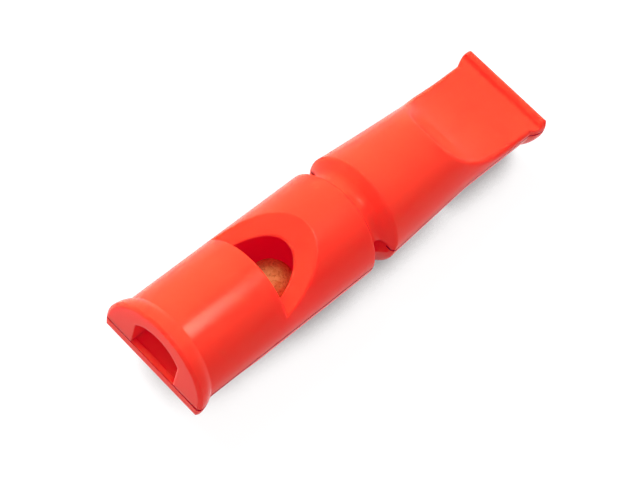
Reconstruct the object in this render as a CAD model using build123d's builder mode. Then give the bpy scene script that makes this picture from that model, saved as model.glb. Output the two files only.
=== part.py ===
from build123d import *
import math
import os
from dataclasses import dataclass

os.makedirs("parts", exist_ok=True)

# Lengths along the axis, measured from the lanyard hole
near_length = 40.6
far_length = 39.2

# Round outer form
barrel_radius = 9.5
far_rim_radius = 9.6
far_mouth_radius = 8.4
far_taper_end = 18.2
neck_radius = 7.2
groove_width = 4.4
groove_bottom_radius = 1.5
rim_bevel = 0.3
lanyard_hole_radius = 2.0

# Lip flange round the curved side of each mouth
flange_height = 0.85
flange_bevel = 0.45
flange_run = 3.1
flange_margin = 0.2
corner_round = 1.4

# Flat floor of each mouthpiece, with the straight lip at its end
floor_level = 1.25
near_floor_end = 6.4
far_floor_end = 7.0
lip_height = 1.1
lip_bead = 0.75
lip_blend = 0.35

# Thumb scoops behind the floors and behind the windows
floor_scoop_radius = 20.0
floor_edge_round = 0.9
window_front = 19.0
window_scoop_radius = 36.0
window_scoop_station = 9.3
window_scoop_level = 2.95
window_edge_round = 0.3

# Mouth slots and the windway blocks inside them
near_slot_half_width = 4.6
near_slot_side = 5.3
near_slot_crown = 7.6
far_slot_half_width = 4.2
far_slot_side = 4.6
far_slot_crown = 6.6
floor_land = 1.05
floor_step = 0.45
block_start = 6.0
block_full = 12.0
block_end = 18.2
block_root = 0.6
block_clearance = 0.1
windway_gap = 1.6

# Chambers
near_chamber_radius = 7.25
far_chamber_radius = 6.4
end_wall = 2.3
ramp_wall = 1.4

# Loose pea
pea_radius = 4.0
pea_station = 24.8
pea_lean = 12
pea_clearance = 0.25

# Overrun of the cutting tools past the surfaces they cut
overrun = 1.0
reach = barrel_radius + flange_height + overrun


@dataclass
class Mouth:
    """One whistle: its side plane runs inward from the mouth face and up towards the window."""

    side: Plane
    face: Plane
    body_radius: float
    floor_end: float
    slot_half_width: float
    slot_side: float
    slot_crown: float
    chamber_radius: float
    chamber_end: float


near = Mouth(
    side=Plane(origin=(-near_length, 0, 0), x_dir=(1, 0, 0), z_dir=(0, -1, 0)),
    face=Plane(origin=(-near_length, 0, 0), x_dir=(0, 1, 0), z_dir=(1, 0, 0)),
    body_radius=barrel_radius,
    floor_end=near_floor_end,
    slot_half_width=near_slot_half_width,
    slot_side=near_slot_side,
    slot_crown=near_slot_crown,
    chamber_radius=near_chamber_radius,
    chamber_end=near_length - groove_width / 2 - end_wall,
)
far = Mouth(
    side=Plane(origin=(far_length, 0, 0), x_dir=(-1, 0, 0), z_dir=(0, -1, 0)),
    face=Plane(origin=(far_length, 0, 0), x_dir=(0, 1, 0), z_dir=(-1, 0, 0)),
    body_radius=far_mouth_radius,
    floor_end=far_floor_end,
    slot_half_width=far_slot_half_width,
    slot_side=far_slot_side,
    slot_crown=far_slot_crown,
    chamber_radius=far_chamber_radius,
    chamber_end=far_length - groove_width / 2 - end_wall,
)


def flange_points(level):
    """Front edge, crest and foot of a flange that curves back down to the body."""
    edge = (0, level + flange_height - flange_bevel)
    crest = (flange_bevel, level + flange_height)
    return edge, crest, (flange_run, level)


def groove_shoulder(wall, level):
    """Point where the straight wall of the waist groove meets its round bottom."""
    up = level - neck_radius - groove_bottom_radius
    turn = math.atan2(up, wall) - math.acos(groove_bottom_radius / math.hypot(wall, up))
    across = groove_bottom_radius * math.cos(turn)
    return across, neck_radius + groove_bottom_radius + groove_bottom_radius * math.sin(turn)


def outline():
    """Half of the outline that the round outer form is turned from."""
    wall = groove_width / 2
    near_wall = (-wall, barrel_radius - rim_bevel)
    near_rim = (-wall - rim_bevel, barrel_radius)
    far_wall = (wall, far_rim_radius - rim_bevel)
    far_rim = (wall + rim_bevel, far_rim_radius)
    taper = (far_length - far_taper_end, far_mouth_radius)
    near_across, near_bottom_level = groove_shoulder(wall, near_wall[1])
    far_bottom = groove_shoulder(wall, far_wall[1])
    near_bottom = (-near_across, near_bottom_level)
    near_edge, near_crest, near_foot = [(x - near_length, y) for x, y in flange_points(barrel_radius)]
    far_edge, far_crest, far_foot = [(far_length - x, y) for x, y in flange_points(far_mouth_radius)]
    with BuildSketch() as profile:
        with BuildLine():
            Polyline((-near_length, 0), near_edge, near_crest)
            TangentArc(near_crest, near_foot, tangent=(1, 0))
            Polyline(near_foot, near_rim, near_wall, near_bottom)
            ThreePointArc(near_bottom, (0, neck_radius), far_bottom)
            Polyline(far_bottom, far_wall, far_rim, taper, far_foot)
            TangentArc(far_crest, far_foot, tangent=(-1, 0))
            Polyline(far_crest, far_edge, (far_length, 0), (-near_length, 0))
        make_face()
    return profile.sketch


def floor_cut(mouth):
    """Side profile of everything outside the flat floor and its thumb scoop."""
    turn = math.acos(1 - (reach - floor_level) / floor_scoop_radius)
    middle = (
        mouth.floor_end + floor_scoop_radius * math.sin(turn / 2),
        -floor_level - floor_scoop_radius * (1 - math.cos(turn / 2)),
    )
    end = (mouth.floor_end + floor_scoop_radius * math.sin(turn), -reach)
    start = (flange_run + flange_margin, -floor_level)
    flat_end = (mouth.floor_end, -floor_level)
    with BuildSketch(mouth.side) as profile:
        with BuildLine():
            Line(start, flat_end)
            ThreePointArc(flat_end, middle, end)
            Polyline(end, (start[0], -reach), start)
        make_face()
    return profile.sketch


def lip_cut(mouth):
    """Side profile of everything outside the straight lip at the end of the floor."""
    bead_level = floor_level + lip_height - lip_bead
    rise = floor_level + lip_blend - bead_level
    run = math.sqrt((lip_bead + lip_blend) ** 2 - rise**2)
    along = run / (lip_bead + lip_blend)
    up = rise / (lip_bead + lip_blend)
    half = math.hypot(along, up + 1)
    start = (0, -bead_level)
    crest = (lip_bead, -floor_level - lip_height)
    meet = (lip_bead + lip_bead * along, -bead_level - lip_bead * up)
    hollow_level = floor_level + lip_blend - lip_blend * (up + 1) / half
    hollow = (lip_bead + run - lip_blend * along / half, -hollow_level)
    foot = (lip_bead + run, -floor_level)
    end = (flange_run + flange_margin, -floor_level)
    outside = (-overrun, -bead_level)
    with BuildSketch(mouth.side) as profile:
        with BuildLine():
            Line(outside, start)
            ThreePointArc(start, crest, meet)
            ThreePointArc(meet, hollow, foot)
            Polyline(foot, end, (end[0], -reach), (-overrun, -reach), outside)
        make_face()
    return profile.sketch


def corner_cut(mouth, hand):
    """End profile that rounds one corner between the straight lip and the round flange."""
    edge = floor_level + lip_height
    flange_radius = mouth.body_radius + flange_height
    rise = corner_round - edge
    out = math.sqrt((flange_radius - corner_round) ** 2 - rise**2)
    tip = flange_radius / (flange_radius - corner_round)
    half = math.hypot(out * tip - out, rise * tip - rise - corner_round)
    middle = (
        out + corner_round * (out * tip - out) / half,
        rise + corner_round * (rise * tip - rise - corner_round) / half,
    )
    on_lip = (hand * out, -edge)
    on_flange = (hand * out * tip, rise * tip)
    outside = (hand * reach, rise * tip)
    with BuildSketch(mouth.face.offset(-overrun)) as profile:
        with BuildLine():
            ThreePointArc(on_lip, (hand * middle[0], middle[1]), on_flange)
            Polyline(on_flange, outside, (hand * reach, -reach), (hand * out, -reach), on_lip)
        make_face()
    return profile.sketch


def window_cut(mouth):
    """Side profile of the window and the thumb scoop behind it."""
    start = window_front - window_scoop_station
    rise = window_scoop_radius - math.sqrt(window_scoop_radius**2 - start**2)
    turn = math.acos(1 - (reach - window_scoop_level) / window_scoop_radius)
    middle_turn = (math.asin(start / window_scoop_radius) + turn) / 2
    front = (window_front, window_scoop_level + rise)
    middle = (
        window_scoop_station + window_scoop_radius * math.sin(middle_turn),
        window_scoop_level + window_scoop_radius * (1 - math.cos(middle_turn)),
    )
    end = (window_scoop_station + window_scoop_radius * math.sin(turn), reach)
    with BuildSketch(mouth.side) as profile:
        with BuildLine():
            ThreePointArc(front, middle, end)
            Polyline(end, (window_front, reach), front)
        make_face()
    return profile.sketch


def slot_section(mouth, station, inset, drop, root):
    """Arched section of the mouth slot, or of the block that stands in it."""
    half_width = mouth.slot_half_width - inset
    side = mouth.slot_side - drop
    with BuildSketch(mouth.face.offset(station)) as section:
        with BuildLine():
            Polyline((-half_width, side), (-half_width, -root), (half_width, -root), (half_width, side))
            ThreePointArc((half_width, side), (0, mouth.slot_crown - drop), (-half_width, side))
        make_face()
    return section.sketch


def chamber_core(mouth):
    """The sound chamber, with its floor following the thumb scoop outside."""
    with BuildPart() as core:
        with BuildSketch(mouth.face.offset(block_end)):
            Circle(mouth.chamber_radius)
        extrude(amount=mouth.chamber_end - block_end)
        with BuildSketch(mouth.side):
            with Locations((mouth.floor_end, -floor_level - floor_scoop_radius)):
                Circle(floor_scoop_radius + ramp_wall)
        extrude(amount=reach, both=True, mode=Mode.SUBTRACT)
    return core.part


def windway_block(mouth):
    """The block on the floor of the slot that leaves a thin windway under the roof."""
    with BuildPart() as block:
        section = slot_section(mouth, block_start, block_clearance, windway_gap, block_root)
        extrude(section, amount=block_end - block_start)
        with BuildSketch(mouth.side):
            with BuildLine():
                Polyline(
                    (block_start, -block_root),
                    (block_start, 0),
                    (block_full, mouth.slot_crown - windway_gap),
                    (block_end, mouth.slot_crown - windway_gap),
                    (block_end, -block_root),
                    close=True,
                )
            make_face()
        extrude(amount=reach, both=True, mode=Mode.INTERSECT)
    return block.part


# The whole moulding, before it is parted at the seam
with BuildPart() as moulding:
    add(outline())
    revolve(axis=Axis.X)
    for mouth in (near, far):
        extrude(floor_cut(mouth), amount=reach, both=True, mode=Mode.SUBTRACT)
        fresh = moulding.edges(Select.LAST)
        fillet(fresh.filter_by(GeomType.BSPLINE) + fresh.filter_by(Axis.X), floor_edge_round)
        extrude(window_cut(mouth), amount=reach, both=True, mode=Mode.SUBTRACT)
        fillet(moulding.edges(Select.LAST).filter_by(GeomType.BSPLINE), window_edge_round)
        extrude(lip_cut(mouth), amount=reach, both=True, mode=Mode.SUBTRACT)
        for hand in (-1, 1):
            extrude(corner_cut(mouth, hand), amount=mouth.floor_end, mode=Mode.SUBTRACT)
        extrude(slot_section(mouth, -overrun, 0, 0, 0), amount=overrun + window_front, mode=Mode.SUBTRACT)
        step = slot_section(mouth, floor_land, 0, 0, floor_step)
        extrude(step, amount=block_start - floor_land, mode=Mode.SUBTRACT)
        add(chamber_core(mouth), mode=Mode.SUBTRACT)
    with BuildSketch(Plane.XZ):
        Circle(lanyard_hole_radius)
    extrude(amount=reach, both=True, mode=Mode.SUBTRACT)

# Upper half shell: near roof, upper half of the waist, far floor and far windway block
with BuildPart() as upper_shell:
    add(moulding.part)
    split(bisect_by=Plane.XY, keep=Keep.TOP)
    add(windway_block(far))
upper_shell.part.label = "upper_shell"
export_step(upper_shell.part, "parts/upper_shell.step")

# Lower half shell: near floor and near windway block, lower half of the waist, far roof
with BuildPart() as lower_shell:
    add(moulding.part)
    split(bisect_by=Plane.XY, keep=Keep.BOTTOM)
    add(windway_block(near))
lower_shell.part.label = "lower_shell"
export_step(lower_shell.part, "parts/lower_shell.step")

# Loose pea, lying low in the near chamber and a little to one side
with BuildPart() as cork_pea:
    orbit = near_chamber_radius - pea_radius - pea_clearance
    lean = math.radians(pea_lean)
    with Locations((pea_station - near_length, -orbit * math.sin(lean), -orbit * math.cos(lean))):
        Sphere(pea_radius)
cork_pea.part.label = "cork_pea"
export_step(cork_pea.part, "parts/cork_pea.step")
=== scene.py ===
import math
import random

import bmesh
import bpy
from mathutils import Euler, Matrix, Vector, noise


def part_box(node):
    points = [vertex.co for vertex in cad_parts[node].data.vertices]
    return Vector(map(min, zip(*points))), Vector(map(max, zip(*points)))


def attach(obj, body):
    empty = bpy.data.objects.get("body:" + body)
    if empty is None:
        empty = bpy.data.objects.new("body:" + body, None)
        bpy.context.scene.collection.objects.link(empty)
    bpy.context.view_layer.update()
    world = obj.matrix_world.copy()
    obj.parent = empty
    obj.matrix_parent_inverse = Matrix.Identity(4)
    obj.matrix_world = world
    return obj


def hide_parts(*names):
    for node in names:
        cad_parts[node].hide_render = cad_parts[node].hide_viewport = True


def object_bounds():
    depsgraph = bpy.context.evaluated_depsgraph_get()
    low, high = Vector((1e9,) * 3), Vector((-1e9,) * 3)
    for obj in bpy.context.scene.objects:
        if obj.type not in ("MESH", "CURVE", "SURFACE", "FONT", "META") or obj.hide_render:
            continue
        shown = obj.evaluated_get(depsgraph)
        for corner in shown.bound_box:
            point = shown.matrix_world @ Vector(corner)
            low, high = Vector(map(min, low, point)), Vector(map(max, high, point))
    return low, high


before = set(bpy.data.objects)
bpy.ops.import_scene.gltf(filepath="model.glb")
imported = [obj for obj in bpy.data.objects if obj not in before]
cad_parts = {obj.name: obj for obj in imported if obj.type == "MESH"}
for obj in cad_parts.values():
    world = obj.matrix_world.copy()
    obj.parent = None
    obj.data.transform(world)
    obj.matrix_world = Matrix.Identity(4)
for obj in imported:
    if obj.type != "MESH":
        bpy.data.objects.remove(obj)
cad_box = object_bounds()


# The two shells: the halves of the whistle, injection-moulded in glossy orange-red plastic and welded at the
# mid-plane. A red glow is painted onto them as emission, which is painted light; it is dimmed in hollows and
# recesses by occlusion, which is painted shade. The weld shows as a dark line that gapes at the right side;
# the skin has a faint flow ripple, and handling has dulled it a little in soft patches.
mm = 0.001
plastic_bright = (1.0, 0.075, 0.025, 1.0)
plastic_deep = (0.99, 0.066, 0.022, 1.0)
plastic_ior = 1.17
gloss_roughness = (0.17, 0.21)
glow_depth = 2.0 * mm
glow_by_colour = (1.0, 0.05, 0.05)
# painted glow: red emission colours, full on open faces and dim in hollows (painted light and painted shade)
painted_glow_open = (1.0, 0.0, 0.03, 1.0)
painted_glow_in_hollows = (0.12, 0.0, 0.02, 1.0)
painted_glow_strength = 0.3
glow_shade_reach = 14.0 * mm
seam_colour = (0.2, 0.001, 0.002, 1.0)
seam_level = -0.1 * mm
seam_half_width = (0.32 * mm, 0.17 * mm)
seam_core_share = 0.55
seam_gape = (-9.4 * mm, -7.5 * mm)
seam_flattest_face = 0.7
outer_side = 8.0 * mm
mouth_start = 38.5 * mm
mouth_face_slant = 0.5
edge_round = 0.45 * mm
edge_samples = 6
ripple_size = 1.6 * mm
ripple_height = 0.03 * mm
ripple_strength = 0.08
ripple_detail = 2.0
flow_size = 14.0 * mm
flow_range = (0.3, 0.7)
flow_detail = 1.0
smudge_size = 6.0 * mm
smudge_range = (0.3, 0.75)
smudge_detail = 2.0


def finish_node(tree, kind, inputs, **settings):
    made = tree.nodes.new("ShaderNode" + kind)
    for name, value in settings.items():
        setattr(made, name, value)
    for socket, value in inputs.items():
        if isinstance(value, bpy.types.NodeSocket):
            tree.links.new(value, made.inputs[socket])
        else:
            made.inputs[socket].default_value = value
    return made


def finish_value(tree, operation, *terms):
    return finish_node(tree, "Math", dict(enumerate(terms)), operation=operation).outputs["Value"]


plastic = bpy.data.materials.new("shell_plastic")
plastic.use_nodes = True
tree = plastic.node_tree
shader = tree.nodes["Principled BSDF"]
place = finish_node(tree, "TexCoord", {}).outputs["Object"]

flow = finish_node(tree, "TexNoise", {"Vector": place, "Scale": 1 / flow_size, "Detail": flow_detail})
flow_share = finish_node(
    tree, "MapRange",
    {"Value": flow.outputs["Fac"], "From Min": flow_range[0], "From Max": flow_range[1]},
    interpolation_type="SMOOTHSTEP")
flow_tint = finish_node(
    tree, "Mix",
    {"Factor": flow_share.outputs["Result"], "A": plastic_deep, "B": plastic_bright},
    data_type="RGBA")

along = finish_node(tree, "SeparateXYZ", {"Vector": place}).outputs
seam_distance = finish_value(tree, "ABSOLUTE", finish_value(tree, "SUBTRACT", along["Z"], seam_level))
seam_width = finish_node(
    tree, "MapRange",
    {"Value": along["Y"], "From Min": seam_gape[0], "From Max": seam_gape[1],
     "To Min": seam_half_width[0], "To Max": seam_half_width[1]}).outputs["Result"]
seam_core = finish_value(tree, "MULTIPLY", seam_width, seam_core_share)
seam_line = finish_node(
    tree, "MapRange",
    {"Value": seam_distance, "From Min": seam_width, "From Max": seam_core},
    interpolation_type="SMOOTHSTEP").outputs["Result"]
true_normal = finish_node(tree, "NewGeometry", {}).outputs["True Normal"]
facing = finish_node(tree, "VectorMath", {0: true_normal}, operation="ABSOLUTE").outputs["Vector"]
facing_along = finish_node(tree, "SeparateXYZ", {"Vector": facing}).outputs
upright = finish_value(tree, "LESS_THAN", facing_along["Z"], seam_flattest_face)
at_mouth = finish_value(tree, "GREATER_THAN", finish_value(tree, "ABSOLUTE", along["X"]), mouth_start)
end_facing = finish_value(tree, "GREATER_THAN", facing_along["X"], mouth_face_slant)
on_end = finish_value(tree, "MULTIPLY", at_mouth, end_facing)
on_side = finish_value(tree, "GREATER_THAN", finish_value(tree, "ABSOLUTE", along["Y"]), outer_side)
seam_face = finish_value(tree, "MULTIPLY", upright, finish_value(tree, "MAXIMUM", on_end, on_side))
seam = finish_value(tree, "MULTIPLY", seam_line, seam_face)
seam_tint = finish_node(
    tree, "Mix",
    {"Factor": seam, "A": flow_tint.outputs["Result"], "B": seam_colour},
    data_type="RGBA")
tree.links.new(seam_tint.outputs["Result"], shader.inputs["Base Color"])

smudge = finish_node(tree, "TexNoise", {"Vector": place, "Scale": 1 / smudge_size, "Detail": smudge_detail})
dullness = finish_node(
    tree, "MapRange",
    {"Value": smudge.outputs["Fac"], "From Min": smudge_range[0], "From Max": smudge_range[1],
     "To Min": gloss_roughness[0], "To Max": gloss_roughness[1]},
    interpolation_type="SMOOTHSTEP").outputs["Result"]
tree.links.new(finish_value(tree, "MAXIMUM", dullness, seam), shader.inputs["Roughness"])

rounded = finish_node(tree, "Bevel", {"Radius": edge_round}, samples=edge_samples)
ripple = finish_node(tree, "TexNoise", {"Vector": place, "Scale": 1 / ripple_size, "Detail": ripple_detail})
skin = finish_node(
    tree, "Bump",
    {"Strength": ripple_strength, "Distance": ripple_height,
     "Height": ripple.outputs["Fac"], "Normal": rounded.outputs["Normal"]})
seam_groove = finish_node(
    tree, "Bump",
    {"Distance": seam_half_width[1], "Height": seam, "Normal": skin.outputs["Normal"]},
    invert=True)
tree.links.new(seam_groove.outputs["Normal"], shader.inputs["Normal"])

# Painted glow: red emission that is painted light, mixed by occlusion so that hollows and recesses get painted
# shade.
glow_shade = finish_node(tree, "AmbientOcclusion", {"Distance": glow_shade_reach})
painted_glow = finish_node(
    tree, "Mix",
    {"Factor": glow_shade.outputs["AO"], "A": painted_glow_in_hollows, "B": painted_glow_open},
    data_type="RGBA")
tree.links.new(painted_glow.outputs["Result"], shader.inputs["Emission Color"])

shader.inputs["IOR"].default_value = plastic_ior
shader.inputs["Emission Strength"].default_value = painted_glow_strength
shader.inputs["Subsurface Weight"].default_value = 1.0
shader.inputs["Subsurface Radius"].default_value = glow_by_colour
shader.inputs["Subsurface Scale"].default_value = glow_depth
for name in ("upper_shell", "lower_shell"):
    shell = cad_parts[name]
    shell.data.materials.clear()
    shell.data.materials.append(plastic)


# The pea: a loose ball ground from natural cork, matt and pitted, with the dark pores
# and uneven grains that cork has. Nothing holds it: it rolls round inside the pea chamber.
pea_low, pea_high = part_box("cork_pea")
pea_centre = (Vector(pea_low) + Vector(pea_high)) / 2
pea_radius = (pea_high[0] - pea_low[0]) / 2
pea_subdivisions = 5
pea_pits = 90
pit_seed = 4
pit_reach = (0.25 * mm, 0.7 * mm)
pit_depth_share = 0.22
grain_size = 0.5 * mm
grain_depth = 0.05 * mm
pore_size = 0.4 * mm
pore_range = (0.52, 0.68)
pore_depth = 0.1 * mm
pore_strength = 0.4
pore_detail = 5.0
cork_pale = (0.76, 0.33, 0.11, 1.0)
cork_dark = (0.62, 0.22, 0.06, 1.0)
cork_pore = (0.5, 0.15, 0.04, 1.0)
cork_roughness = 0.85

chance = random.Random(pit_seed)
pits = []
for index in range(pea_pits):
    way = Vector((chance.gauss(0, 1), chance.gauss(0, 1), chance.gauss(0, 1))).normalized()
    pits.append((way * pea_radius, chance.uniform(*pit_reach)))
ball = bmesh.new()
bmesh.ops.create_icosphere(ball, subdivisions=pea_subdivisions, radius=pea_radius)
for vertex in ball.verts:
    depth = grain_depth * (0.5 + 0.5 * noise.noise(vertex.co / grain_size))
    for pit_place, reach in pits:
        near = 1 - (vertex.co - pit_place).length / reach
        if near > 0:
            depth = max(depth, pit_depth_share * reach * near * (2 - near))
    vertex.co *= 1 - depth / pea_radius
for face in ball.faces:
    face.smooth = True
pea_mesh = bpy.data.meshes.new("pea_ball")
ball.to_mesh(pea_mesh)
ball.free()
pea = bpy.data.objects.new("pea_ball", pea_mesh)
pea.location = pea_centre
scene = bpy.context.scene
scene.collection.objects.link(pea)

cork = bpy.data.materials.new("cork")
cork.use_nodes = True
tree = cork.node_tree
shader = tree.nodes["Principled BSDF"]
place = finish_node(tree, "TexCoord", {}).outputs["Object"]
grains = finish_node(tree, "TexVoronoi", {"Vector": place, "Scale": 1 / grain_size})
grain_share = finish_node(tree, "SeparateColor", {"Color": grains.outputs["Color"]}).outputs["Red"]
grain_tint = finish_node(
    tree, "Mix",
    {"Factor": grain_share, "A": cork_dark, "B": cork_pale},
    data_type="RGBA")
pores = finish_node(tree, "TexNoise", {"Vector": place, "Scale": 1 / pore_size, "Detail": pore_detail})
pore_mask = finish_node(
    tree, "MapRange",
    {"Value": pores.outputs["Fac"], "From Min": pore_range[0], "From Max": pore_range[1]}).outputs["Result"]
pore_tint = finish_node(
    tree, "Mix",
    {"Factor": pore_mask, "A": grain_tint.outputs["Result"], "B": cork_pore},
    data_type="RGBA")
tree.links.new(pore_tint.outputs["Result"], shader.inputs["Base Color"])
pore_hollows = finish_node(
    tree, "Bump",
    {"Strength": pore_strength, "Distance": pore_depth, "Height": pore_mask},
    invert=True)
tree.links.new(pore_hollows.outputs["Normal"], shader.inputs["Normal"])
shader.inputs["Roughness"].default_value = cork_roughness
pea.data.materials.append(cork)
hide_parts("cork_pea")
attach(pea, "pea")


# The floor: a plain white sheet that the whistle lies on, and no part of it. Seen directly or in a
# reflection it is white, with a soft shade where the whistle is close above it; from below it is clear.
floor_level = cad_box[0][2]
floor_half = 1.5
paper_white = 0.93
paper_shadow = (0.15, 0.15, 0.15, 1.0)
paper_bounce = (0.35, 0.35, 0.35, 1.0)
paper_roughness = 0.9
shade_reach = 14.0 * mm
shade_range = (0.3, 0.64)
shade_deepest = 0.25

corners = ((-1, -1), (1, -1), (1, 1), (-1, 1))
floor_mesh = bpy.data.meshes.new("floor")
floor_mesh.from_pydata([(x * floor_half, y * floor_half, floor_level) for x, y in corners], [], [(0, 1, 2, 3)])
floor = bpy.data.objects.new("floor", floor_mesh)
scene.collection.objects.link(floor)

paper = bpy.data.materials.new("paper")
paper.use_nodes = True
tree = paper.node_tree
shader = tree.nodes["Principled BSDF"]
shader.inputs["Base Color"].default_value = paper_bounce
shader.inputs["Roughness"].default_value = paper_roughness
path = finish_node(tree, "LightPath", {}).outputs
seen = finish_value(tree, "MAXIMUM", path["Is Camera Ray"], path["Is Glossy Ray"])
seen = finish_value(tree, "MAXIMUM", seen, path["Is Transmission Ray"])
contact = finish_node(tree, "AmbientOcclusion", {"Distance": shade_reach})
shade = finish_node(
    tree, "MapRange",
    {"Value": contact.outputs["AO"], "From Min": shade_range[0], "From Max": shade_range[1],
     "To Min": shade_deepest},
    interpolation_type="SMOOTHSTEP")
white = finish_node(tree, "Emission", {"Color": shade.outputs["Result"], "Strength": paper_white})
shadow = finish_node(tree, "BsdfDiffuse", {"Color": paper_shadow})
shaded_white = finish_node(tree, "AddShader", {0: white.outputs["Emission"], 1: shadow.outputs["BSDF"]})
from_above = finish_node(
    tree, "MixShader", {0: seen, 1: shader.outputs["BSDF"], 2: shaded_white.outputs["Shader"]})
underside = finish_node(tree, "NewGeometry", {}).outputs["Backfacing"]
clear = finish_node(tree, "BsdfTransparent", {}).outputs["BSDF"]
sheet = finish_node(tree, "MixShader", {0: underside, 1: from_above.outputs["Shader"], 2: clear})
tree.links.new(sheet.outputs["Shader"], tree.nodes["Material Output"].inputs["Surface"])
floor.data.materials.append(paper)


# The light: an even white studio, brighter above and behind, with a broad soft box at the upper left that
# fills with diffuse light only, and a small warm one overhead that shows only as the streak on the barrel.
bright_side = (0.45, 0.45, 0.77)
sky_span = (-0.5, 0.9)
sky_range = (0.2, 0.72)
soft_boxes = (
    ("left_box", Vector((-20, 525, 525)), Vector((20, -525, -525)), 500, 500, 7.3, (1.0, 1.0, 1.0), True),
    ("top_box", Vector((72, -60, 276)), Vector((0, 0, -1)), 44, 130, 0.91, (1.0, 0.9, 0.7), False),
)

world = bpy.data.worlds.new("studio")
world.use_nodes = True
tree = world.node_tree
around = finish_node(tree, "TexCoord", {}).outputs["Generated"]
slant = finish_node(tree, "VectorMath", {0: around, 1: bright_side}, operation="DOT_PRODUCT")
sky = finish_node(
    tree, "MapRange",
    {"Value": slant.outputs["Value"], "From Min": sky_span[0], "From Max": sky_span[1],
     "To Min": sky_range[0], "To Max": sky_range[1]})
background = tree.nodes["Background"]
background.inputs["Color"].default_value = (1.0, 1.0, 1.0, 1.0)
tree.links.new(sky.outputs["Result"], background.inputs["Strength"])
scene.world = world

for name, spot, aim, width, length, power, tint, fills in soft_boxes:
    lamp = bpy.data.lights.new(name, "AREA")
    lamp.shape = "ELLIPSE"
    lamp.size = width * mm
    lamp.size_y = length * mm
    lamp.energy = power
    lamp.color = tint
    soft_box = bpy.data.objects.new(name, lamp)
    soft_box.location = spot * mm
    soft_box.rotation_euler = aim.to_track_quat("-Z", "Y").to_euler()
    soft_box.visible_diffuse = fills
    soft_box.visible_glossy = not fills
    scene.collection.objects.link(soft_box)


# The camera: solved from the rims, the silhouette and the mouth slot in the photograph. It looks
# down on the mouth of the pea whistle, with the whistle pointing to the upper right.
camera_place = Vector((-162.3, -80.9, 277.0)) * mm
camera_turn = (30.623, -11.21, -44.72)
camera_lens = 118.66
camera_sensor = 36.0
camera_nearest = 10 * mm

camera_data = bpy.data.cameras.new("camera")
camera_data.lens = camera_lens
camera_data.sensor_width = camera_sensor
camera_data.clip_start = camera_nearest
camera = bpy.data.objects.new("camera", camera_data)
camera.location = camera_place
camera.rotation_euler = Euler([math.radians(angle) for angle in camera_turn])
scene.collection.objects.link(camera)
scene.camera = camera
scene.view_settings.view_transform = "Standard"
